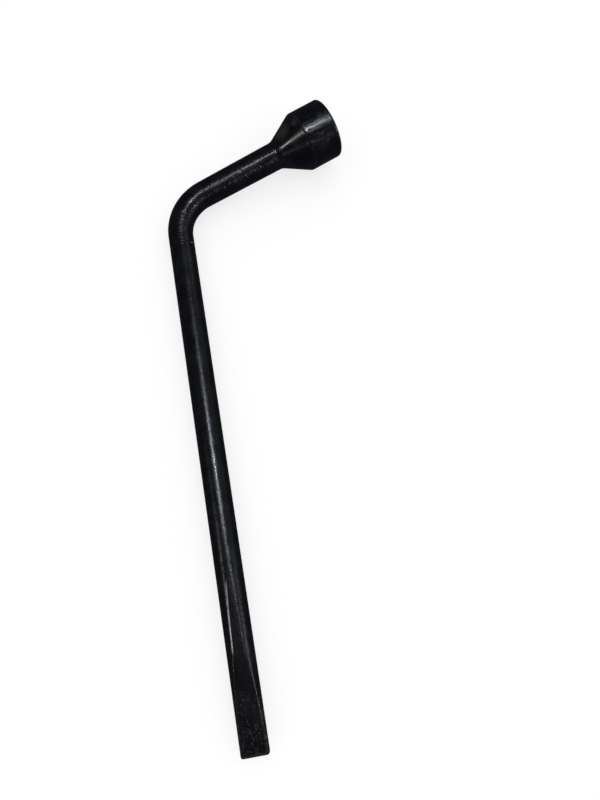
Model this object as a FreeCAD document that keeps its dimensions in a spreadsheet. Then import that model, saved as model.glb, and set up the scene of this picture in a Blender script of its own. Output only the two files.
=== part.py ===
"""Lug wrench: a six-point socket head butt-welded to a bent round bar that ends in a pry tip.

Millimetres. The centre of the socket's mouth is the origin. The wrench lies as it rests on a floor: the
handle runs along -Y from the bend to the pry tip, the arm leads from the bend to the socket on the +X side,
and +Z is up. The bar lies on the floor along the handle, and the thicker socket leans on its shoulder, which
rolls the whole tool a few degrees about the handle.
"""

import math
import os

import FreeCAD
import Part
import Sketcher

V = FreeCAD.Vector
X_AXIS = V(1, 0, 0)
Y_AXIS = V(0, 1, 0)
Z_AXIS = V(0, 0, 1)

doc = FreeCAD.newDocument("lug_wrench")

# ---------------------------------------------------------------- driving dimensions

SIZES = [
    ("hex_flats", 21.3, "across the flats of the six-point cavity, for a 21 mm wheel nut"),
    ("hex_depth", 18.0, "mouth to the end of the flats"),
    ("lead_in_width", 26.0, "diameter of the 45 degree lead-in at the mouth"),
    ("stud_width", 16.0, "diameter of the bore that clears the wheel stud"),
    ("stud_depth", 24.5, "mouth to the end of the stud bore's straight wall"),
    ("drill_point", 4.8, "length of the cone that the drill leaves at the bottom"),
    ("socket_width", 34.0, "outside diameter of the socket's barrel"),
    ("barrel_length", 18.5, "mouth to the shoulder where the taper starts"),
    ("taper_length", 16.4, "shoulder to the neck"),
    ("neck_width", 15.8, "diameter where the taper meets the arm"),
    ("rim_round", 1.2, "radius of the mouth's outer edge"),
    ("shoulder_round", 3.0, "radius of the shoulder"),
    ("neck_round", 7.0, "radius of the dressed weld between taper and arm"),
    ("weld_core", 8.0, "diameter of the core where bar and socket meet face to face"),
    ("weld_margin", 0.4, "weld metal beyond its dressed hollow, along the axis, each way"),
    ("arm_length", 48.5, "neck to the start of the bend"),
    ("bend_width", 14.8, "bar diameter where the bend starts"),
    ("bar_width", 14.0, "bar diameter along the handle"),
    ("bend_radius", 26.0, "radius of the bend's centre line"),
    ("bend_turn", 69.0, "degrees that the bend turns through"),
    ("handle_length", 271.0, "end of the bend to the end of the pry tip"),
    ("flat_length", 88.0, "tip to where the forged flats run out into the round bar"),
    ("flat_thickness", 12.6, "across the flats where the wedge starts"),
    ("wedge_length", 46.0, "tip to where the wedge starts"),
    ("tip_thickness", 5.0, "across the flats at the end of the tip"),
    ("tip_round", 1.3, "radius around the end of the tip"),
]

sizes = doc.addObject("Spreadsheet::Sheet", "sizes")
for row, (name, number, meaning) in enumerate(SIZES, start=1):
    sizes.set("A%d" % row, name)
    sizes.set("B%d" % row, str(number))
    sizes.set("C%d" % row, meaning)
    sizes.setAlias("B%d" % row, name)
doc.recompute()

# Lengths that follow from the driving dimensions, as expressions.
NECK = "(sizes.barrel_length + sizes.taper_length)"
SETBACK = "(sizes.bend_radius * tan(sizes.bend_turn * 1 deg / 2))"
TIP = "(%s + sizes.handle_length)" % SETBACK
TAPER_SLOPE = "((sizes.socket_width - sizes.neck_width) / 2 / sizes.taper_length)"
ARM_SLOPE = "((sizes.neck_width - sizes.bend_width) / 2 / sizes.arm_length)"
HALF_NECK_TURN = "((atan(%s) - atan(%s)) / 2)" % (TAPER_SLOPE, ARM_SLOPE)
WELD_REACH = "(sizes.neck_round * tan(%s) + sizes.weld_margin)" % HALF_NECK_TURN
WELD_ON_TAPER = "(sizes.neck_width / 2 + %s * %s)" % (WELD_REACH, TAPER_SLOPE)
WELD_ON_ARM = "(sizes.neck_width / 2 - %s * %s)" % (WELD_REACH, ARM_SLOPE)


def value(expression):
    """What an expression in the sizes comes to."""
    return float(sizes.evalExpression(expression))


# ---------------------------------------------------------------- sketches and features

def plane_sketch(body, name, role):
    """A sketch on one of the body's own origin planes."""
    sketch = body.newObject("Sketcher::SketchObject", name)
    plane = next(item for item in body.Origin.OriginFeatures if item.Role == role)
    sketch.AttachmentSupport = [(plane, "")]
    sketch.MapMode = "FlatFace"
    return sketch


def bind(sketch, constraint, expression):
    """Add a dimension to the sketch and let the spreadsheet drive it."""
    number = sketch.addConstraint(constraint)
    sketch.setExpression("Constraints[%d]" % number, expression)


def outline(sketch, corners):
    """A closed outline of straight lines, whose corners are pairs of expressions."""
    points = [V(value(across), value(up), 0) for across, up in corners]
    first = sketch.GeometryCount
    count = len(corners)
    for i in range(count):
        sketch.addGeometry(Part.LineSegment(points[i], points[(i + 1) % count]))
    for i in range(count):
        following = first + (i + 1) % count
        sketch.addConstraint(Sketcher.Constraint("Coincident", first + i, 2, following, 1))
    for i, (across, up) in enumerate(corners):
        bind(sketch, Sketcher.Constraint("DistanceX", -1, 1, first + i, 1, points[i].x), across)
        bind(sketch, Sketcher.Constraint("DistanceY", -1, 1, first + i, 1, points[i].y), up)


def turned(body, kind, name, sketch):
    """Turn a sketch about its own horizontal axis: Revolution adds, Groove cuts."""
    feature = body.newObject("PartDesign::" + kind, name)
    feature.Profile = sketch
    feature.ReferenceAxis = (sketch, ["H_Axis"])
    feature.Angle = 360
    doc.recompute()
    return feature


def must_have_cut(feature, before):
    """Stop if a pocket or groove points away from the solid and took nothing off it."""
    assert feature.Shape.Volume < before.Shape.Volume - 1, feature.Label


def rounded(body, name, base, edges, size):
    """Round the named edges of the last feature."""
    feature = body.newObject("PartDesign::Fillet", name)
    feature.Base = (base, edges)
    feature.setExpression("Radius", "sizes." + size)
    doc.recompute()
    return feature


def ring_edges(shape, place, radius):
    """The circular edges of this radius, centred this far along the X axis."""
    found = []
    for i, edge in enumerate(shape.Edges, start=1):
        if not isinstance(edge.Curve, Part.Circle):
            continue
        centre = edge.Curve.Center
        if abs(centre.x - place) < 0.01 and abs(edge.Curve.Radius - radius) < 0.01:
            found.append("Edge%d" % i)
    return found


# ---------------------------------------------------------------- how the wrench lies

def rest_roll():
    """The roll about the handle, in radians, that brings bar and socket shoulder to one floor.

    The shoulder's rounded edge touches the floor when bar radius + span * sin(roll) equals
    ring * sqrt(1 - (lean * sin(roll))^2) + round, a quadratic in sin(roll).
    """
    lean = math.sin(math.radians(value("sizes.bend_turn")))
    edge = value("sizes.shoulder_round")
    half_taper = math.atan(value(TAPER_SLOPE)) / 2
    ring = value("sizes.socket_width / 2") - edge
    inset = value("sizes.barrel_length") - edge * math.tan(half_taper)
    span = (reach - inset) * lean
    lift = value("sizes.bar_width / 2") - edge
    a = span ** 2 + (ring * lean) ** 2
    b = 2 * span * lift
    c = lift ** 2 - ring ** 2
    return math.asin((-b + math.sqrt(b ** 2 - 4 * a * c)) / (2 * a))


arm_angle = 90 - value("sizes.bend_turn")
reach = value("%s + sizes.arm_length + %s" % (NECK, SETBACK))
rest = FreeCAD.Placement(V(0, 0, 0), FreeCAD.Rotation(Y_AXIS, -math.degrees(rest_roll())))
along_arm = FreeCAD.Rotation(Z_AXIS, arm_angle)

# ---------------------------------------------------------------- socket head

# A forged cup: a barrel with a broached hexagon, and a taper down to the neck, bevelled for the weld. Its own
# X axis is the socket's axis and points out of the mouth.
socket_head = doc.addObject("PartDesign::Body", "socket_head")
socket_head.Label = "socket_head"

cup = plane_sketch(socket_head, "cup", "XY_Plane")
outline(cup, [
    ("0", "0"),
    ("0", "sizes.socket_width / 2"),
    ("-sizes.barrel_length", "sizes.socket_width / 2"),
    ("-%s + %s" % (NECK, WELD_REACH), WELD_ON_TAPER),
    ("-" + NECK, "sizes.weld_core / 2"),
    ("-" + NECK, "0"),
])
forging = turned(socket_head, "Revolution", "forging", cup)

barrel_radius = value("sizes.socket_width / 2")
rim = ring_edges(forging.Shape, 0, barrel_radius)
rim_edge = rounded(socket_head, "rim_edge", forging, rim, "rim_round")
shoulder = ring_edges(rim_edge.Shape, -value("sizes.barrel_length"), barrel_radius)
shoulder_edge = rounded(socket_head, "shoulder_edge", rim_edge, shoulder, "shoulder_round")

bore = plane_sketch(socket_head, "bore", "XY_Plane")
outline(bore, [
    ("0", "0"),
    ("0", "sizes.lead_in_width / 2"),
    ("-(sizes.lead_in_width - sizes.stud_width) / 2", "sizes.stud_width / 2"),
    ("-sizes.stud_depth", "sizes.stud_width / 2"),
    ("-sizes.stud_depth - sizes.drill_point", "0"),
])
stud_bore = turned(socket_head, "Groove", "stud_bore", bore)
must_have_cut(stud_bore, shoulder_edge)

hexagon = plane_sketch(socket_head, "hexagon", "YZ_Plane")
half_side = "sizes.hex_flats / sqrt(3) / 2"
half_flats = "sizes.hex_flats / 2"
outline(hexagon, [
    ("sizes.hex_flats / sqrt(3)", "0"),
    (half_side, half_flats),
    ("-" + half_side, half_flats),
    ("-sizes.hex_flats / sqrt(3)", "0"),
    ("-" + half_side, "-" + half_flats),
    (half_side, "-" + half_flats),
])
broach = socket_head.newObject("PartDesign::Pocket", "broached_hexagon")
broach.Profile = hexagon
broach.setExpression("Length", "sizes.hex_depth")
doc.recompute()
must_have_cut(broach, stud_bore)
socket_head.Placement = rest * FreeCAD.Placement(V(0, 0, 0), along_arm)

# ---------------------------------------------------------------- handle bar

# One round bar. Its own origin is the corner where the axes of arm and handle cross, with the handle along
# -Y. The arm is upset a little thicker towards the socket, and the far end is forged to a wedge.
handle_bar = doc.addObject("PartDesign::Body", "handle_bar")
handle_bar.Label = "handle_bar"

arm_profile = plane_sketch(handle_bar, "arm_profile", "XY_Plane")
arm_profile.AttachmentOffset = FreeCAD.Placement(V(0, 0, 0), along_arm)
arm_profile.setExpression("AttachmentOffset.Rotation.Angle", "90 deg - sizes.bend_turn * 1 deg")
outline(arm_profile, [
    (SETBACK, "0"),
    (SETBACK, "sizes.bend_width / 2"),
    ("%s + sizes.arm_length - %s" % (SETBACK, WELD_REACH), WELD_ON_ARM),
    (SETBACK + " + sizes.arm_length", "sizes.weld_core / 2"),
    (SETBACK + " + sizes.arm_length", "0"),
])
turned(handle_bar, "Revolution", "arm", arm_profile)

# The bend: a circle carried along an arc, from the handle's diameter to the arm's.
bend_line = plane_sketch(handle_bar, "bend_line", "XY_Plane")
bend_radius = value("sizes.bend_radius")
bend_centre = V(bend_radius, -value(SETBACK), 0)
bend_start = math.pi - math.radians(value("sizes.bend_turn"))
bend_circle = Part.Circle(bend_centre, Z_AXIS, bend_radius)
bend_line.addGeometry(Part.ArcOfCircle(bend_circle, bend_start, math.pi))
bind(bend_line, Sketcher.Constraint("Radius", 0, bend_radius), "sizes.bend_radius")
bind(bend_line, Sketcher.Constraint("DistanceX", -1, 1, 0, 3, bend_centre.x), "sizes.bend_radius")
bind(bend_line, Sketcher.Constraint("DistanceY", -1, 1, 0, 3, bend_centre.y), "-" + SETBACK)
bend_line.addConstraint(Sketcher.Constraint("Horizontal", 0, 3, 0, 2))
arm_joins_at = value("%s * sin(sizes.bend_turn * 1 deg)" % SETBACK)
bind(
    bend_line,
    Sketcher.Constraint("DistanceX", -1, 1, 0, 1, arm_joins_at),
    "%s * sin(sizes.bend_turn * 1 deg)" % SETBACK,
)


def section(name, along_bend, size):
    """A circle square to the bend's centre line; 0 is its arm end and 1 its handle end."""
    sketch = handle_bar.newObject("Sketcher::SketchObject", name)
    sketch.AttachmentSupport = [(bend_line, "Edge1")]
    sketch.MapMode = "NormalToEdge"
    sketch.MapPathParameter = along_bend
    doc.recompute()
    radius = value("sizes.%s / 2" % size)
    sketch.addGeometry(Part.Circle(V(0, 0, 0), Z_AXIS, radius))
    sketch.addConstraint(Sketcher.Constraint("Coincident", 0, 3, -1, 1))
    bind(sketch, Sketcher.Constraint("Radius", 0, radius), "sizes.%s / 2" % size)
    return sketch


handle_section = section("handle_section", 1.0, "bar_width")
arm_section = section("arm_section", 0.0, "bend_width")
bend = handle_bar.newObject("PartDesign::AdditivePipe", "bend")
bend.Profile = handle_section
bend.Spine = (bend_line, ["Edge1"])
bend.Sections = [(arm_section, "")]
bend.Transformation = "Multisection"
bend.Mode = "Frenet"
doc.recompute()

shaft_section = plane_sketch(handle_bar, "shaft_section", "XZ_Plane")
shaft_section.setExpression("AttachmentOffset.Base.z", SETBACK)
shaft_section.addGeometry(Part.Circle(V(0, 0, 0), Z_AXIS, value("sizes.bar_width / 2")))
shaft_section.addConstraint(Sketcher.Constraint("Coincident", 0, 3, -1, 1))
bind(shaft_section, Sketcher.Constraint("Radius", 0, value("sizes.bar_width / 2")), "sizes.bar_width / 2")
shaft = handle_bar.newObject("PartDesign::Pad", "shaft")
shaft.Profile = shaft_section
shaft.setExpression("Length", "sizes.handle_length")
doc.recompute()

# The pry tip: the same pair of flats above and below, long and shallow first, then a wedge.
wedge = plane_sketch(handle_bar, "wedge", "YZ_Plane")
for side in ("", "-"):
    outline(wedge, [
        ("-%s + sizes.flat_length" % TIP, side + "sizes.bar_width / 2"),
        ("-%s + sizes.wedge_length" % TIP, side + "sizes.flat_thickness / 2"),
        ("-" + TIP, side + "sizes.tip_thickness / 2"),
        ("-" + TIP, side + "sizes.bar_width"),
        ("-%s + sizes.flat_length" % TIP, side + "sizes.bar_width"),
    ])
flats = handle_bar.newObject("PartDesign::Pocket", "forged_flats")
flats.Profile = wedge
flats.Type = "ThroughAll"
flats.SideType = "Symmetric"
doc.recompute()
must_have_cut(flats, shaft)

tip_place = -value(TIP)
end_edges = []
for i, edge in enumerate(flats.Shape.Edges, start=1):
    if all(abs(vertex.Point.y - tip_place) < 0.01 for vertex in edge.Vertexes):
        end_edges.append("Edge%d" % i)
rounded(handle_bar, "tip_edge", flats, end_edges, "tip_round")
handle_bar.Placement = rest * FreeCAD.Placement(along_arm.multVec(X_AXIS) * -reach, FreeCAD.Rotation())

# ---------------------------------------------------------------- neck weld

# The weld metal that fills the double bevel between bar and socket, dressed to a smooth hollow. It shares the
# socket head's axis and origin.
neck_weld = doc.addObject("PartDesign::Body", "neck_weld")
neck_weld.Label = "neck_weld"
bead = plane_sketch(neck_weld, "bead", "XY_Plane")
outline(bead, [
    ("-" + NECK, "sizes.weld_core / 2"),
    ("-%s + %s" % (NECK, WELD_REACH), WELD_ON_TAPER),
    ("-" + NECK, "sizes.neck_width / 2"),
    ("-%s - %s" % (NECK, WELD_REACH), WELD_ON_ARM),
])
filler = turned(neck_weld, "Revolution", "filler", bead)
hollow = ring_edges(filler.Shape, -value(NECK), value("sizes.neck_width / 2"))
rounded(neck_weld, "dressed_hollow", filler, hollow, "neck_round")
neck_weld.Placement = rest * FreeCAD.Placement(V(0, 0, 0), along_arm)

# ---------------------------------------------------------------- check and write

doc.recompute()
for item in doc.Objects:
    assert not {"Invalid", "Error"} & set(item.State), item.Label

os.makedirs("parts", exist_ok=True)
for body in (socket_head, handle_bar, neck_weld):
    shape = body.Shape
    assert not shape.isNull() and shape.isValid() and len(shape.Solids) == 1, body.Label
    shape.exportStep("parts/%s.step" % body.Label)
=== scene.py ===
import math

import bmesh
import bpy
from mathutils import Matrix, Vector


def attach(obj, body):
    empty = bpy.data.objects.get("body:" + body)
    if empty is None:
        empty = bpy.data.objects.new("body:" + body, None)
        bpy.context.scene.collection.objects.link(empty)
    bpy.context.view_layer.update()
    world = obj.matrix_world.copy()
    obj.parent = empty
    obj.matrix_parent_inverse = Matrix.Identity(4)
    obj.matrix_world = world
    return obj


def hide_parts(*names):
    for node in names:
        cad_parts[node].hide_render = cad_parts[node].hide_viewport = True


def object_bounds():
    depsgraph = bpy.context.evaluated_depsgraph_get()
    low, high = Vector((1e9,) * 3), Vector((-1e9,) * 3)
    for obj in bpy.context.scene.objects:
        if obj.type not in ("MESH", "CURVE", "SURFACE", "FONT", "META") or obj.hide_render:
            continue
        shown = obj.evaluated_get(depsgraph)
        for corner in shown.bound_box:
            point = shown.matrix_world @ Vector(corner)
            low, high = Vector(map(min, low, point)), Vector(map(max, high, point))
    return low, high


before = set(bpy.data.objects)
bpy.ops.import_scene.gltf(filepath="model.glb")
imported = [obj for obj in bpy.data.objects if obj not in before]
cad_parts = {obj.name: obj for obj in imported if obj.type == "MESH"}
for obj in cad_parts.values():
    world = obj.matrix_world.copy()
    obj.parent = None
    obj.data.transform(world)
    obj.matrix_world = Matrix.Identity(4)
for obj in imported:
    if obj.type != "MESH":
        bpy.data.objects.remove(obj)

cad_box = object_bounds()


# ---------------------------------------------------------------- socket head

# The forged steel cup that goes over the wheel nut. A hexagon is broached into its barrel, and a round bore
# behind it clears the stud. The taper runs down to a bevelled neck, which is welded to the bar, and the cup
# is dipped in black enamel, inside and out.

MM = 0.001                      # sizes are in millimetres, and the scene is in metres
BARREL_RADIUS = 17.0
BARREL_LENGTH = 18.5
TAPER_LENGTH = 16.4
NECK_RADIUS = 7.9
RIM_ROUND = 1.2
SHOULDER_ROUND = 3.0
WELD_CORE = 4.0                 # radius of the face where the socket meets the bar
HEX_FLATS = 21.3                # from one flat of the hexagon to the opposite one
HEX_DEPTH = 18.0
LEAD_IN_RADIUS = 13.0           # of the lead-in's cone at the mouth
FACE_EASE = 0.25                # the mouth's sharp edge is eased: this far out on the rim's flat face
EASE_TURN = (-0.05, 0.07)       # round a point here, along the axis and outwards from the lead-in's radius
CONE_EASE = 0.15                # to this far in on the lead-in's cone
EASE_DEPTH = 0.22               # at this depth
STUD_RADIUS = 8.0
STUD_DEPTH = 24.5               # from the mouth
DRILL_POINT = 4.8               # depth of the cone that the drill left
ARM_LENGTH = 48.5
ARM_RADIUS = 7.4                # where the bend starts
NECK_ROUND = 7.0                # radius of the weld's dressed hollow
WELD_MARGIN = 0.4               # weld metal beyond the hollow, each way
ARM_ANGLE = 21.0                # degrees from +X to the arm, seen from above
REST_ROLL = 7.293               # degrees that the tool rolls to lie on its shoulder

NECK = BARREL_LENGTH + TAPER_LENGTH
TAPER_SLOPE = (BARREL_RADIUS - NECK_RADIUS) / TAPER_LENGTH
ARM_SLOPE = (NECK_RADIUS - ARM_RADIUS) / ARM_LENGTH
HALF_NECK_TURN = (math.atan(TAPER_SLOPE) - math.atan(ARM_SLOPE)) / 2
WELD_REACH = NECK_ROUND * math.tan(HALF_NECK_TURN) + WELD_MARGIN
AROUND = 144                    # points in each ring of a turned or drawn piece
CAP_RADIUS = 0.5                # the small first ring, which a point closes
CRISP = 0.3                     # a ring this close to an edge keeps it crisp
SHARP_TURN = 35                 # degrees between two faces from which their edge shows sharp

as_it_lies = Matrix.Rotation(math.radians(-REST_ROLL), 4, "Y")
along_arm = as_it_lies @ Matrix.Rotation(math.radians(ARM_ANGLE), 4, "Z")


def arc(centre, radius, start, end, steps):
    """Points on an arc of a turned outline, from one angle in degrees to the other."""
    angles = [math.radians(start + (end - start) * i / steps) for i in range(steps + 1)]
    return [(centre[0] + radius * math.cos(a), centre[1] + radius * math.sin(a)) for a in angles]


def run(start, end, steps):
    """Evenly spaced points between two points of an outline, leaving out both ends."""
    return [
        tuple(a + (b - a) * i / steps for a, b in zip(start, end))
        for i in range(1, steps)
    ]


def ring(place, radius):
    """A ring of points about the X axis. Its place along the axis and its radius may follow the angle."""
    points = []
    for i in range(AROUND):
        angle = 2 * math.pi * i / AROUND
        r = radius(angle) if callable(radius) else radius
        x = place(angle) if callable(place) else place
        points.append(Vector((x, r * math.cos(angle), r * math.sin(angle))))
    return points


def skin(name, rings, lie, laid=None, marks=None):
    """A closed skin over rings of equal count, with a point in the middle of the first and of the last.

    lie turns the piece to how it lies. laid gives each point's place in the piece's own straight axes, in
    millimetres, for the finish to read, and marks gives named numbers for each point.
    """
    laid = laid or rings
    points = [p for r in rings for p in r]
    own = [p for r in laid for p in r]
    numbers = {key: [n for r in rows for n in r] for key, rows in (marks or {}).items()}
    faces = []
    for k in range(len(rings) - 1):
        for i in range(AROUND):
            j = (i + 1) % AROUND
            faces.append((k * AROUND + i, k * AROUND + j, (k + 1) * AROUND + j, (k + 1) * AROUND + i))
    for k, turned_over in ((0, True), (len(rings) - 1, False)):
        middle = len(points)
        points.append(sum(rings[k], Vector()) / AROUND)
        own.append(sum(laid[k], Vector()) / AROUND)
        for row in numbers.values():
            row.append(0.0)
        for i in range(AROUND):
            edge = (k * AROUND + i, k * AROUND + (i + 1) % AROUND)
            faces.append((edge[1], edge[0], middle) if turned_over else (*edge, middle))
    mesh = bpy.data.meshes.new(name)
    mesh.from_pydata([lie @ (p * MM) for p in points], [], faces)
    place = mesh.attributes.new("own", "FLOAT_VECTOR", "POINT")
    place.data.foreach_set("vector", [c for p in own for c in p])
    for key, row in numbers.items():
        mesh.attributes.new(key, "FLOAT", "POINT").data.foreach_set("value", row)
    mesh.polygons.foreach_set("use_smooth", [True] * len(mesh.polygons))
    mesh.set_sharp_from_angle(angle=math.radians(SHARP_TURN))
    mesh.update()
    piece = bpy.data.objects.new(name, mesh)
    bpy.context.scene.collection.objects.link(piece)
    return piece


def hexagon(angle):
    """Distance from the axis to the broached hexagon at an angle."""
    turn = (angle + math.pi / 6) % (math.pi / 3) - math.pi / 6
    turn = math.pi / 6 - abs(turn)
    return HEX_FLATS / 2 / math.cos(turn)


# The outside, from the neck over the weld's bevel, the taper, the shoulder and the rim to the mouth's edge.
shoulder_turn = math.degrees(math.atan(TAPER_SLOPE))
shoulder_setback = SHOULDER_ROUND * math.tan(math.radians(shoulder_turn / 2))
shoulder_middle = (-BARREL_LENGTH + shoulder_setback, BARREL_RADIUS - SHOULDER_ROUND)
rim_middle = (-RIM_ROUND, BARREL_RADIUS - RIM_ROUND)
weld_edge = (-NECK + WELD_REACH, NECK_RADIUS + WELD_REACH * TAPER_SLOPE)
taper_bends = arc(shoulder_middle, SHOULDER_ROUND, 90 + shoulder_turn, 90, 8)
rim_bend = arc(rim_middle, RIM_ROUND, 90, 0, 6)
outside = [(-NECK, CAP_RADIUS), (-NECK, WELD_CORE)]
outside += run((-NECK, WELD_CORE), weld_edge, 4) + [weld_edge]
outside += run(weld_edge, taper_bends[0], 22) + taper_bends
outside += run(taper_bends[-1], rim_bend[0], 22) + rim_bend
face_edge = (0, LEAD_IN_RADIUS + FACE_EASE)
outside += run(rim_bend[-1], face_edge, 3) + [face_edge]
outside += [(EASE_TURN[0], LEAD_IN_RADIUS + EASE_TURN[1]), (-EASE_DEPTH, LEAD_IN_RADIUS - CONE_EASE)]
cup = [ring(x, r) for x, r in outside]


def lead_in_end(angle):
    """Where the 45 degree cone of the lead-in runs out on the hexagon at an angle, along the axis."""
    return hexagon(angle) - LEAD_IN_RADIUS


# The inside: the lead-in's cone, the hexagon's walls and floor, the stud bore and its drilled point. Two
# corners of the hexagon lie on the own Y axis.
for share in (0.25, 0.5, 0.75, 1.0):
    cup.append(ring(
        lambda a, t=share: -EASE_DEPTH + (lead_in_end(a) + EASE_DEPTH) * t,
        lambda a, t=share: LEAD_IN_RADIUS - CONE_EASE + (hexagon(a) - LEAD_IN_RADIUS + CONE_EASE) * t,
    ))
for share in (0.03, 0.2, 0.4, 0.6, 0.8, 0.97, 1.0):
    cup.append(ring(lambda a, t=share: lead_in_end(a) * (1 - t) - HEX_DEPTH * t, hexagon))
for share in (0.05, 0.5, 0.95, 1.0):
    cup.append(ring(-HEX_DEPTH, lambda a, t=share: hexagon(a) * (1 - t) + STUD_RADIUS * t))
for x in (-HEX_DEPTH - CRISP, -HEX_DEPTH - 2, -HEX_DEPTH - 4, -STUD_DEPTH + CRISP, -STUD_DEPTH):
    cup.append(ring(x, STUD_RADIUS))
for share in (0.05, 0.4, 0.7, 0.95):
    cup.append(ring(-STUD_DEPTH - DRILL_POINT * share, STUD_RADIUS * (1 - share)))

socket_head = skin("forged_socket", cup, along_arm)


class Shade:
    """A number, colour or vector that changes over a surface. Arithmetic on numbers adds Math nodes."""

    def __init__(self, finish, socket):
        self.finish = finish
        self.socket = socket

    def reckon(self, operation, *terms):
        return self.finish.add("Math", {"operation": operation}, dict(enumerate(terms)))

    def __add__(self, other):
        return self.reckon("ADD", self, other)

    def __sub__(self, other):
        return self.reckon("SUBTRACT", self, other)

    def __rsub__(self, other):
        return self.reckon("SUBTRACT", other, self)

    def __mul__(self, other):
        return self.reckon("MULTIPLY", self, other)

    def __abs__(self):
        return self.reckon("ABSOLUTE", self)

    def root(self):
        return self.reckon("SQRT", self)

    def at_least(self, floor):
        return self.reckon("MAXIMUM", self, floor)

    __radd__ = __add__
    __rmul__ = __mul__


class Finish:
    """A material's nodes, which add() puts in one at a time."""

    def __init__(self, name):
        self.material = bpy.data.materials.new(name)
        self.material.use_nodes = True
        self.nodes = self.material.node_tree.nodes
        self.links = self.material.node_tree.links
        self.nodes.clear()

    def add(self, kind, settings=None, values=None, out=0):
        """Add a node: its settings first, then the values or shades of its sockets. Returns one output."""
        node = self.nodes.new("ShaderNode" + kind)
        for key, setting in (settings or {}).items():
            setattr(node, key, setting)
        for key, value in (values or {}).items():
            if isinstance(value, Shade):
                self.links.new(value.socket, node.inputs[key])
            else:
                node.inputs[key].default_value = value
        return Shade(self, node.outputs[out]) if node.outputs else None

    def own(self):
        """The place on the piece in its own straight axes, in millimetres."""
        return self.add("Attribute", {"attribute_name": "own"}, out="Vector")

    def number(self, name):
        """A number that the mesh carries under this name."""
        return self.add("Attribute", {"attribute_name": name}, out="Fac")

    def split(self, place):
        """The three parts of a place."""
        parts = self.add("SeparateXYZ", values={0: place}).socket.node
        return [Shade(self, socket) for socket in parts.outputs]

    def stretched(self, place, factors, shift=(0, 0, 0)):
        """A place made finer or coarser along each axis."""
        return self.add("VectorMath", {"operation": "MULTIPLY_ADD"}, {0: place, 1: factors, 2: shift})

    def cloud(self, place, scale, detail=3, roughness=0.55):
        """Soft noise round 0.5, with about this many lumps to the millimetre."""
        values = {"Vector": place, "Scale": scale, "Detail": detail, "Roughness": roughness}
        return self.add("TexNoise", None, values)

    def rise(self, value, low, high):
        """0 up to low, 1 from high, and smooth between."""
        values = {"Value": value, "From Min": low, "From Max": high}
        return self.add("MapRange", {"interpolation_type": "SMOOTHSTEP"}, values)

    def blend(self, share, first, second):
        """One colour turning into another."""
        return self.add("Mix", {"data_type": "RGBA"}, {0: share, 6: first, 7: second}, out=2)

    def near(self, place, centre, radius, soft):
        """1 close to a point and 0 away from it."""
        away = self.add("VectorMath", {"operation": "DISTANCE"}, {0: place, 1: centre}, out="Value")
        return 1 - self.rise(away, radius, radius + soft)


# The enamel, the same enamel where it is chalked, the steel under it, and rust. Along the bar's left crease
# the steel colour also paints a highlight.
BLACK = (0.0016, 0.0017, 0.0030, 1)
CHALKED = (0.026, 0.026, 0.030, 1)
BARED = (0.57, 0.52, 0.47, 1)
RUST = (0.060, 0.042, 0.031, 1)
REFRACTION = 1.5                # index of the enamel
FILM_ROUGHNESS = 0.06           # of the thin top film that gives the sharp shine


def enamel(finish, height, shine, chalk=0, bare=0, rust=0, gloss=0.20, peel=1.0):
    """Black enamel over steel: where it shines, and where it is chalked, rubbed to the steel or rusty.

    height is the relief of the steel in millimetres, and shine is how much of the sharp top film there is.
    gloss is the roughness of the enamel under it, and peel is how much of the enamel's own ripple shows.
    Where bare lays the steel colour along the bar's left crease, it is partly a painted highlight.
    """
    own = finish.own()
    drift = finish.cloud(own, 0.12, 4)
    speck = finish.cloud(own, 1.6, 5, 0.7)
    colour = finish.blend(finish.rise(drift, 0.35, 0.75) * 0.12, BLACK, CHALKED)
    colour = finish.blend(chalk * finish.rise(speck, 0.35, 0.7), colour, CHALKED)
    colour = finish.blend(bare, colour, BARED)
    colour = finish.blend(rust * finish.rise(speck, 0.3, 0.6), colour, RUST)
    roughness = gloss + 0.06 * finish.rise(drift, 0.3, 0.7) + 0.04 * speck + 0.2 * chalk + 0.3 * rust
    ripple = finish.cloud(own, 0.5, 2) * 0.05 + finish.cloud(own, 2.2, 3) * 0.02
    relief = height + ripple * peel - bare * 0.012
    normal = finish.add("Bump", None, {"Strength": 1.0, "Distance": MM, "Height": relief})
    shader = finish.add("BsdfPrincipled", None, {
        "Base Color": colour,
        "Roughness": roughness,
        "Metallic": bare * 0.9,
        "IOR": REFRACTION,
        "Coat Weight": shine * (1 - chalk) * (1 - bare),
        "Coat Roughness": FILM_ROUGHNESS,
        "Coat IOR": REFRACTION,
        "Normal": normal,
    })
    finish.add("OutputMaterial", None, {"Surface": shader})
    return finish.material


KNOCK = (-17.0, -11.1, 12.8)    # places in the socket's own axes, with the mouth at 0 and the neck at -NECK
RUST_SPOT = (-20.2, 3.3, 15.8)
RUST_WEEP = (-27.5, 5.2, 10.8)

dip = Finish("black_enamel_on_the_forged_socket")
own = dip.own()
along = dip.split(own)[0]

# Forging scale in streaks along the axis, and finer scoring along it. The taper is smooth.
scale_marks = dip.cloud(dip.stretched(own, (0.25, 1.6, 1.6)), 1.0, 4, 0.65)
scored = dip.rise(dip.cloud(dip.stretched(own, (0.12, 2.4, 2.4), (7, 0, 0)), 1.0, 3, 0.7), 0.5, 0.75)
on_barrel = dip.rise(along, -BARREL_LENGTH, -BARREL_LENGTH + 2)
clear_of_neck = dip.rise(along, -NECK - 1, -NECK + 2)
smooth_taper = clear_of_neck * (1 - dip.rise(along, -BARREL_LENGTH - 1.5, -BARREL_LENGTH))
height = (scale_marks * 0.06 - scored * 0.03) * (1 - smooth_taper)

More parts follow.
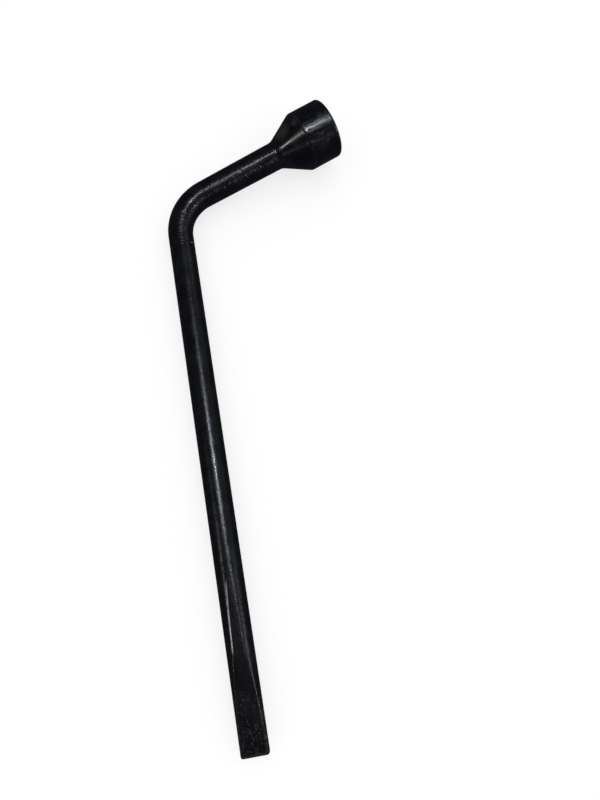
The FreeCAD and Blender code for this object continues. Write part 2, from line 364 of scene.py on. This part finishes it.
# Wear: the rim, the shoulder, the broached hexagon, a knock, and two places of rust.
broken = dip.rise(dip.cloud(own, 1.1, 4, 0.7), 0.42, 0.62)
rim_rub = dip.rise(along, -1.3, -0.5) * (1 - dip.rise(along, -0.02, 0.0)) * broken
shoulder_rub = (1 - dip.rise(abs(along + BARREL_LENGTH - 0.3), 0.1, 0.9)) * broken
from_axis = dip.add("VectorMath", {"operation": "LENGTH"}, {0: dip.stretched(own, (0, 1, 1))}, out="Value")
outside_only = dip.rise(from_axis, LEAD_IN_RADIUS - 0.4, LEAD_IN_RADIUS - 0.1)
inside = (1 - outside_only) * dip.rise(along, -HEX_DEPTH - 0.5, -HEX_DEPTH + 0.5)
broach_streaks = dip.cloud(dip.stretched(own, (0.15, 0.9, 0.9)), 1.0, 3, 0.6)
worn_inside = 0.10 + 0.20 * dip.rise(broach_streaks, 0.35, 0.7)
knock = dip.near(own, KNOCK, 0.4, 1.2) * broken
stain = dip.near(own, RUST_SPOT, 0.5, 3.2) * broken
weep = dip.near(own, RUST_WEEP, 1.0, 6.0) * 0.45
chalk = on_barrel * scored * 0.10 + knock * 0.3
bare = (rim_rub * 0.10 + shoulder_rub * 0.015) * outside_only + knock * 0.04 + inside * worn_inside

# The sharp shine is frayed on the barrel, and the taper has next to none.
frayed = dip.rise(dip.cloud(dip.stretched(own, (0.35, 1.8, 1.8)), 1.0, 4, 0.75), 0.44, 0.60)
shine = 0.01 + 0.30 * frayed * (1 - smooth_taper)
gloss = 0.14 + 0.03 * smooth_taper
peel = 1 - 0.9 * smooth_taper
socket_head.data.materials.append(enamel(dip, height, shine, chalk, bare, stain + weep, gloss, peel))
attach(socket_head, "root")
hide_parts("socket_head")


# ---------------------------------------------------------------- handle bar

# One length of round steel bar. The arm is upset a little thicker towards the socket and bevelled for the
# weld. The bend is pressed hot round a former, and flat dies forge the far end into the long flats and the
# wedge of the pry tip. It has the same dip of enamel as the socket.

BAR_RADIUS = 7.0
BEND_RADIUS = 26.0
BEND_TURN = 69.0
HANDLE_LENGTH = 271.0
FLAT_LENGTH = 88.0              # from the tip to where the flats run out
FLAT_HALF = 6.3                 # half the thickness where the wedge starts
WEDGE_LENGTH = 46.0
TIP_HALF = 2.5                  # half the thickness at the tip
TIP_ROUND = 1.3
CREASE = 0.45                   # how softly a flat turns into the round of the bar
FLAT_FADE = 8.0                 # how far the crease goes on past the flats
ROUND_STEP = 1.2                # between rings where the bar is plain and round
SHAPED_STEP = 0.7               # and where its shape changes
LAST_INSET = 2.2                # the small last ring, which a point closes

BEND_LENGTH = BEND_RADIUS * math.radians(BEND_TURN)
BAR_LENGTH = ARM_LENGTH + BEND_LENGTH + HANDLE_LENGTH
SETBACK = BEND_RADIUS * math.tan(math.radians(BEND_TURN / 2))   # from the bend's end to its corner
REACH = NECK + ARM_LENGTH + SETBACK                             # from the mouth to that corner
arm_way = Vector((math.cos(math.radians(ARM_ANGLE)), math.sin(math.radians(ARM_ANGLE)), 0))


def centre_line(along):
    """Middle of the bar this far from the neck, and the way it runs there, in the tool's own plane."""
    corner = arm_way * -REACH
    if along <= ARM_LENGTH:
        return corner + arm_way * (SETBACK + ARM_LENGTH - along), -arm_way
    if along <= ARM_LENGTH + BEND_LENGTH:
        left = (ARM_LENGTH + BEND_LENGTH - along) / BEND_RADIUS
        middle = corner + Vector((BEND_RADIUS, -SETBACK, 0))
        out = Vector((-math.cos(left), math.sin(left), 0))
        return middle + out * BEND_RADIUS, Vector((-math.sin(left), -math.cos(left), 0))
    return corner + Vector((0, -SETBACK - (along - ARM_LENGTH - BEND_LENGTH), 0)), Vector((0, -1, 0))


def bar_radius(along):
    """Radius of the round bar this far from the neck. It eases down along the arm and round the bend."""
    if along < ARM_LENGTH:
        return NECK_RADIUS - along * ARM_SLOPE
    bent = min(1, (along - ARM_LENGTH) / BEND_LENGTH)
    return ARM_RADIUS + (BAR_RADIUS - ARM_RADIUS) * bent


def flat_half(along):
    """Half the thickness that the flats leave, or more than the bar has where there are none."""
    left = BAR_LENGTH - along
    if left > FLAT_LENGTH + FLAT_FADE:
        return BAR_RADIUS + 2
    if left > WEDGE_LENGTH:
        return FLAT_HALF + (left - WEDGE_LENGTH) * (BAR_RADIUS - FLAT_HALF) / (FLAT_LENGTH - WEDGE_LENGTH)
    return TIP_HALF + left * (FLAT_HALF - TIP_HALF) / WEDGE_LENGTH


def bar_ring(along, inset=0.0, radius=None):
    """A ring of the bar: its points, their places on the straightened bar, and how near a crease each is.

    Where the round meets a flat, the two are blended over the width of the crease.
    """
    middle, way = centre_line(along)
    side = Vector((-way.y, way.x, 0))
    round_part = bar_radius(along) - inset if radius is None else radius
    half = flat_half(along) - inset
    points, laid, creased = [], [], []
    for i in range(AROUND):
        angle = 2 * math.pi * i / AROUND
        flat_part = half / max(abs(math.sin(angle)), 1e-6)
        gap = max(CREASE - abs(round_part - flat_part), 0.0)
        reach = min(round_part, flat_part) - gap * gap / 4 / CREASE
        across, up = reach * math.cos(angle), reach * math.sin(angle)
        points.append(middle + side * across + Vector((0, 0, up)))
        laid.append(Vector((along, across, up)))
        creased.append(gap / CREASE)
    return points, laid, creased


def stations():
    """Distances from the neck at which the bar gets a ring: close together where its shape changes."""
    found = [WELD_REACH]
    while found[-1] < BAR_LENGTH - TIP_ROUND:
        along = found[-1]
        plain = ARM_LENGTH + BEND_LENGTH < along < BAR_LENGTH - FLAT_LENGTH - 6
        step = ROUND_STEP if plain else SHAPED_STEP
        found.append(min(along + step, BAR_LENGTH - TIP_ROUND))
    return found


bar = [bar_ring(0.0, radius=CAP_RADIUS), bar_ring(0.0, radius=WELD_CORE)]
bevel_end = NECK_RADIUS - WELD_REACH * ARM_SLOPE
for share in (0.25, 0.5, 0.75):
    bar.append(bar_ring(WELD_REACH * share, radius=WELD_CORE + (bevel_end - WELD_CORE) * share))
bar += [bar_ring(along) for along in stations()]
for turn in (15, 30, 45, 60, 75, 90):
    angle = math.radians(turn)
    short = TIP_ROUND * (1 - math.sin(angle))
    bar.append(bar_ring(BAR_LENGTH - short, inset=TIP_ROUND * (1 - math.cos(angle))))
bar.append(bar_ring(BAR_LENGTH, inset=LAST_INSET))

bent, straight, creases = zip(*bar)
handle_bar = skin("bent_bar", bent, as_it_lies, laid=straight, marks={"creased": creases})

FIRST_SCUFFS = 280.0            # distances from the neck at which the wear of the tip sets in
MORE_SCUFFS = 318.0
SIDE_RUB = 322.0
CHIP = (86.3, 6.0, 3.6)         # a chip in the enamel, in the straightened bar's axes

coat = Finish("black_enamel_on_the_bar")
own = coat.own()
along, across = coat.split(own)[:2]
creased = coat.number("creased")
bend_end = ARM_LENGTH + BEND_LENGTH
wedge_start = BAR_LENGTH - WEDGE_LENGTH

# Relief of the steel: pressed marks on the arm and the bend, drawn streaks on the handle, and hatching on
# the flats.
worked = 1 - coat.rise(along, bend_end - 4, bend_end + 14)
drawn = coat.rise(along, bend_end, bend_end + 20)
die_marks = coat.cloud(coat.stretched(own, (1.0, 0.2, 0.2)), 1.0, 2, 0.5)
die_rings = coat.add("TexWave", {"wave_type": "BANDS", "bands_direction": "X"}, {
    "Vector": own, "Scale": 0.22, "Distortion": 2.5, "Detail": 2, "Detail Scale": 0.6,
}, out=1)
neck_rings = (1 - coat.rise(along, 12, 22)) * die_rings
streaks = coat.cloud(coat.stretched(own, (0.06, 1.3, 1.3)), 1.0, 4, 0.6)
lumps = coat.cloud(coat.stretched(own, (0.22, 0.5, 0.5)), 1.0, 3, 0.6)
flats = coat.rise(along, BAR_LENGTH - FLAT_LENGTH - 14, BAR_LENGTH - FLAT_LENGTH)
hatch = coat.cloud(coat.stretched(own, (1.6, 0.5, 0.5)), 1.0, 2, 0.6)
past_bend = coat.rise(along, bend_end - 1, bend_end + 6)
former_marks = coat.rise(along, bend_end - 16, bend_end - 4) * (1 - past_bend)
hot_marks = die_marks * 0.42 + lumps * (0.12 + 0.15 * former_marks) + neck_rings * 0.06
height = flats * hatch * 0.10 + worked * hot_marks + drawn * (streaks * 0.03 + lumps * 0.12)

# The creases beside the flats: how far from the bar's middle they run, and where they are rubbed. Along the
# left crease, a thin line of steel colour is partly rubbed steel and partly a painted highlight of the
# crease.
broken = coat.rise(coat.cloud(coat.stretched(own, (0.5, 1.4, 1.4)), 1.0, 4, 0.7), 0.45, 0.62)
flat_rise = (BAR_RADIUS - FLAT_HALF) / (FLAT_LENGTH - WEDGE_LENGTH)
half_there = FLAT_HALF + flat_rise * (wedge_start - along).at_least(0)
crease_place = (BAR_RADIUS * BAR_RADIUS - half_there * half_there).root()
off_crease = abs(abs(across) - crease_place)
crease_rub_and_glint_line = (1 - coat.rise(off_crease, 0.12, 0.40)) * (1 - coat.rise(along, wedge_start, wedge_start + 2))
left_end = coat.rise(along, wedge_start - 4, wedge_start)
left_run = coat.rise(along, wedge_start - 36, wedge_start - 30) * (1 - left_end)
right_end = coat.rise(along, wedge_start + 8, wedge_start + 16)
right_run = coat.rise(along, wedge_start - 28, wedge_start) * (1 - right_end)
on_right = coat.rise(across, -0.2, 0.2)
# Painted highlight and rub: a thin line of steel colour along the left crease.
left_rub_and_glint = crease_rub_and_glint_line * left_run * (1 - on_right) * (0.7 + 0.3 * broken)
right_rub = coat.rise(creased, 0.80, 0.98) * right_run * on_right * broken

# Wear of the tip: its rubbed end and side, scuffs and scratches. The chip is just past the bend.
tip_rub = coat.rise(along, BAR_LENGTH - 2.2, BAR_LENGTH - 0.6) * broken
side_rub = coat.rise(across, 5.2, 6.4) * coat.rise(along, SIDE_RUB, SIDE_RUB + 12) * broken
scuffs = coat.rise(coat.cloud(coat.stretched(own, (0.9, 0.5, 0.5), (3, 1, 0)), 1.0, 6, 0.8), 0.52, 0.62)
few = 0.25 * coat.rise(along, FIRST_SCUFFS, FIRST_SCUFFS + 32)
many = 0.75 * coat.rise(along, MORE_SCUFFS, MORE_SCUFFS + 20)
scuffed = scuffs * (few + many)
dot = coat.near(own, CHIP, 0.15, 0.5)
wander = coat.cloud(coat.stretched(own, (0.16, 0.3, 0.3), (5, 2, 0)), 1.0, 2, 0.5)
thin_lines = 1 - coat.rise(abs(wander - 0.5), 0.002, 0.010)
scratches = thin_lines * coat.rise(along, MORE_SCUFFS, MORE_SCUFFS + 8)
chalk = scuffed * 0.4 + side_rub * 0.5
# The left crease's line of steel colour, at 0.9, is partly a painted highlight.
bare = left_rub_and_glint * 0.9 + right_rub * 0.22 + tip_rub * 0.06 + scratches * 0.07 + dot * 0.8
stain = side_rub * 0.5

# The sharp shine is broken into short grains that lie across the bar.
serrated = coat.rise(coat.cloud(coat.stretched(own, (2.2, 0.7, 0.7)), 1.0, 4, 0.7), 0.42, 0.56)
shine = 0.01 + 0.18 * serrated
handle_bar.data.materials.append(enamel(coat, height, shine, chalk, bare, stain, 0.23))
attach(handle_bar, "root")
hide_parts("handle_bar")


# ---------------------------------------------------------------- neck weld

# The ring of weld metal that fills the bevels where the bar meets the neck of the socket. It is dressed to a
# smooth hollow and goes under the same dip of enamel.

SEAM = 0.01                     # the bead's outline ends this far from where it starts

tangent = NECK_ROUND * math.tan(HALF_NECK_TURN)
taper_angle = math.atan(TAPER_SLOPE)
arm_edge = (-NECK - WELD_REACH, NECK_RADIUS - WELD_REACH * ARM_SLOPE)
arm_angle = math.atan(ARM_SLOPE)
hollow_start = (-NECK - tangent * math.cos(arm_angle), NECK_RADIUS - tangent * math.sin(arm_angle))
hollow_middle = (
    hollow_start[0] - NECK_ROUND * math.sin(arm_angle),
    hollow_start[1] + NECK_ROUND * math.cos(arm_angle),
)
hollow_ends = (270 + math.degrees(arm_angle), 270 + math.degrees(taper_angle))
hollow = arc(hollow_middle, NECK_ROUND, *hollow_ends, 14)
bead = [(-NECK, WELD_CORE)] + run((-NECK, WELD_CORE), arm_edge, 3) + [arm_edge]
bead += hollow + [weld_edge] + run(weld_edge, (-NECK, WELD_CORE), 3)
bead.append((-NECK + SEAM, WELD_CORE))

neck_weld = skin("dressed_weld", [ring(x, r) for x, r in bead], along_arm)

dressing = Finish("black_enamel_on_the_dressed_weld")
own = dressing.own()
filed = dressing.cloud(dressing.stretched(own, (0.5, 1.8, 1.8)), 1.0, 3, 0.6)
ripples = dressing.cloud(dressing.stretched(own, (1.5, 0.3, 0.3)), 1.0, 3, 0.6)
height = filed * 0.05 + ripples * 0.12
shine = 0.02 + 0.10 * dressing.rise(ripples, 0.42, 0.56)
neck_weld.data.materials.append(enamel(dressing, height, shine))
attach(neck_weld, "root")
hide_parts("neck_weld")


# ---------------------------------------------------------------- studio

# A pale floor under the tool, an even white surround, and seven lamps that show only in the gloss. The
# overhead lamp's reflection runs down the bar, a small one glints on the barrel, and the rest pick out the
# edges, the right side, the back and the front.

FLOOR_HALF = 8.0                # half the floor's width, in metres
FLOOR_COLOUR = (0.30, 0.30, 0.30, 1)
FLOOR_GLOW = 0.72
WHITE = (1, 1, 1, 1)
SHELL_RADIUS = 6.0              # in metres
SHELL_COLOUR = (0.75, 0.85, 1.1, 1)
SHELL_GLOW = 0.038
CAMERA_PLACE = (-0.09210, -0.23617, 0.31227)    # in metres
LINE_OF_SIGHT = (0.14518, 0.23037, -0.96221)
TOP_OF_VIEW = (0.14202, 0.95759, 0.25069)

low, high = cad_box
floor_mesh = bpy.data.meshes.new("floor")
square = ((-1, -1), (1, -1), (1, 1), (-1, 1))
corners = [(x * FLOOR_HALF, y * FLOOR_HALF, low.z) for x, y in square]
floor_mesh.from_pydata(corners, [], [(0, 1, 2, 3)])
floor = bpy.data.objects.new("floor", floor_mesh)
bpy.context.scene.collection.objects.link(floor)
paper = Finish("pale_floor")
lit = paper.add("BsdfPrincipled", None, {
    "Base Color": FLOOR_COLOUR,
    "Roughness": 1.0,
    "Specular IOR Level": 0.0,
    "Emission Color": WHITE,
    "Emission Strength": FLOOR_GLOW,
})
paper.add("OutputMaterial", None, {"Surface": lit})
floor_mesh.materials.append(paper.material)
floor.visible_glossy = False

world = bpy.data.worlds.new("surround")
world.use_nodes = True
backdrop = world.node_tree.nodes["Background"]
backdrop.inputs["Color"].default_value = WHITE
backdrop.inputs["Strength"].default_value = 1.0
bpy.context.scene.world = world
world.cycles_visibility.glossy = False


def lamp(name, way, distance, size, watts, colour=(1, 1, 1)):
    """A rectangular lamp that faces the middle of the tool, and that only gloss shows."""
    light = bpy.data.lights.new(name, "AREA")
    light.shape = "RECTANGLE"
    light.size, light.size_y = size
    light.energy = watts
    light.color = colour
    stand = bpy.data.objects.new(name, light)
    bpy.context.scene.collection.objects.link(stand)
    middle = (low + high) / 2
    way = Vector(way).normalized()
    stand.location = middle + way * distance
    stand.rotation_euler = way.to_track_quat("Z", "Y").to_euler()
    stand.visible_diffuse = False


lamp("overhead", (0.07, 0.145, 0.98), 3.0, (0.35, 0.5), 14, (0.80, 0.85, 1))
lamp("left_edge", (-0.73, -0.13, 0.67), 2.0, (0.15, 0.15), 2.6, (1, 0.98, 0.96))
lamp("right_edge", (0.75, -0.35, 0.55), 2.0, (0.3, 0.3), 5, (1, 1, 1))
lamp("barrel_glint", (0.17, 0.14, 0.975), 3.0, (0.12, 0.12), 8.0, (0.88, 0.92, 1))
lamp("right_sheen", (0.8, 0.1, 0.6), 2.0, (2.0, 2.0), 1.3, (0.85, 0.9, 1))
lamp("right_back", (0.60, 0.64, 0.48), 3.0, (0.7, 0.7), 3)
lamp("left_front", (-0.62, -0.72, 0.31), 3.0, (0.8, 0.8), 3)

# A dim shell round everything, which only the gloss of the enamel sees.
shell_mesh = bpy.data.meshes.new("dim_shell")
shell_form = bmesh.new()
bmesh.ops.create_icosphere(shell_form, subdivisions=3, radius=SHELL_RADIUS)
shell_form.to_mesh(shell_mesh)
shell_form.free()
shell = bpy.data.objects.new("dim_shell", shell_mesh)
bpy.context.scene.collection.objects.link(shell)
dim = Finish("dim_surround")
glow = dim.add("Emission", None, {"Color": SHELL_COLOUR, "Strength": SHELL_GLOW})
dim.add("OutputMaterial", None, {"Surface": glow})
shell_mesh.materials.append(dim.material)
shell.visible_camera = False
shell.visible_diffuse = False
shell.visible_shadow = False

camera_data = bpy.data.cameras.new("camera")
camera_data.lens = 28
camera_data.sensor_width = 36
camera_data.clip_start = 0.01
camera = bpy.data.objects.new("camera", camera_data)
bpy.context.scene.collection.objects.link(camera)
forward = Vector(LINE_OF_SIGHT).normalized()
right = forward.cross(Vector(TOP_OF_VIEW)).normalized()
upward = right.cross(forward)
turn = Matrix((right, upward, -forward)).transposed().to_4x4()
camera.matrix_world = Matrix.Translation(Vector(CAMERA_PLACE)) @ turn
bpy.context.scene.camera = camera
bpy.context.scene.view_settings.view_transform = "Standard"
